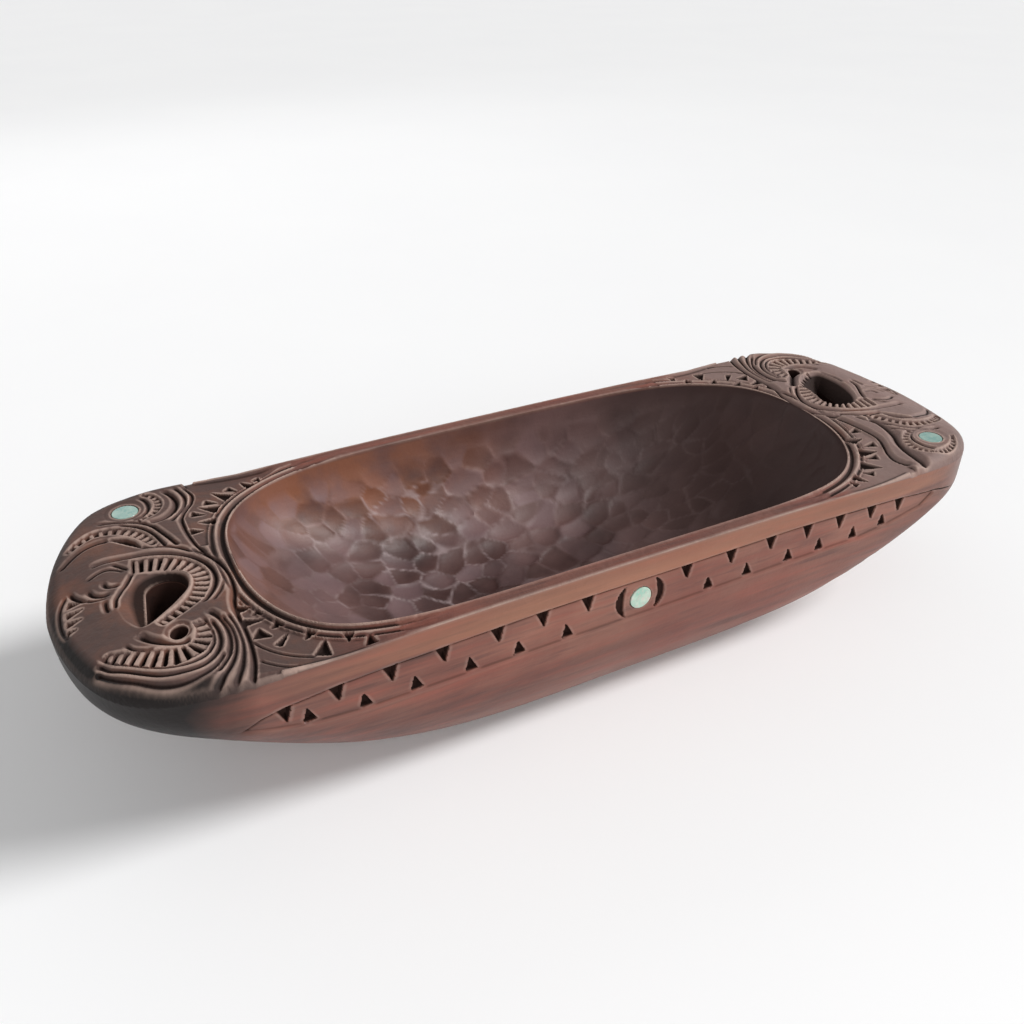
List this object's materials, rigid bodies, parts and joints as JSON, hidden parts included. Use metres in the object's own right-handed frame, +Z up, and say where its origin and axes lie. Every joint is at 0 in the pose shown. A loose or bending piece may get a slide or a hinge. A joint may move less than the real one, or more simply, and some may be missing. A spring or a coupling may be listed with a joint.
{
  "type": "carved wooden bowl",
  "caption": "Long carved wooden bowl with an oval hollow, pierced relief-carved ends, a notched band along each side and shell discs let into the wood.",
  "frame": {"origin": "middle of the flat foot, on the surface that the bowl stands on", "axes": "+X along the bowl, -Y towards the side seen in front, +Z up out of the hollow"},
  "size_m": [0.54, 0.182, 0.099],
  "materials": {
    "wood": "oiled, worn",
    "pale_shell": "polished shell, pale and iridescent",
    "green_shell": "polished shell, blue-green and iridescent",
    "glue": "dull, dried glue"
  },
  "bodies": {
    "root": {"bowl": "wood", "near_side_disc": "pale_shell", "far_side_disc": "pale_shell", "left_end_disc": "green_shell", "right_end_disc": "green_shell", "near_side_glue": "glue", "far_side_glue": "glue", "left_end_glue": "glue", "right_end_glue": "glue"}
  },
  "joints": []
}
